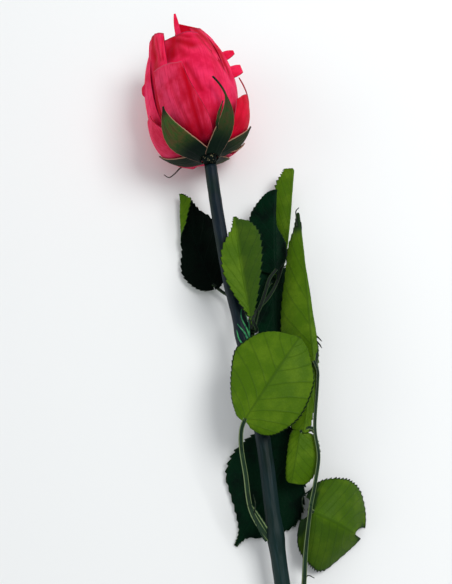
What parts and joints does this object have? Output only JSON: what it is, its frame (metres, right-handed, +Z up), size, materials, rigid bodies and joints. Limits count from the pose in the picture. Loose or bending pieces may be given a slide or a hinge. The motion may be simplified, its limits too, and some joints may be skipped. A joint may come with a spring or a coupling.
{
  "type": "preserved rose",
  "caption": "Single long-stemmed preserved rose lying on its side, a closed bud in its calyx with three compound leaves along the stem.",
  "frame": {"origin": "middle of the flat spot on which the bud rests", "axes": "+Y along the stem towards the bloom, +Z up from the surface the rose lies on"},
  "size_m": [0.0682, 0.3668, 0.0499],
  "materials": {
    "stem_green": "satin, dark blue-green skin of a preserved stem",
    "sepal_green": "matt soft green sepals with pinkish margins",
    "petal_rose": "soft waxy crimson-pink petals",
    "leaf_green": "satin preserved leaves, near-black above and yellow-green below"
  },
  "bodies": {
    "root": {"stem": "stem_green", "calyx": "sepal_green", "bloom": "petal_rose", "upper_leaf": "leaf_green", "right_leaf": "leaf_green", "left_leaf": "leaf_green"}
  },
  "joints": []
}
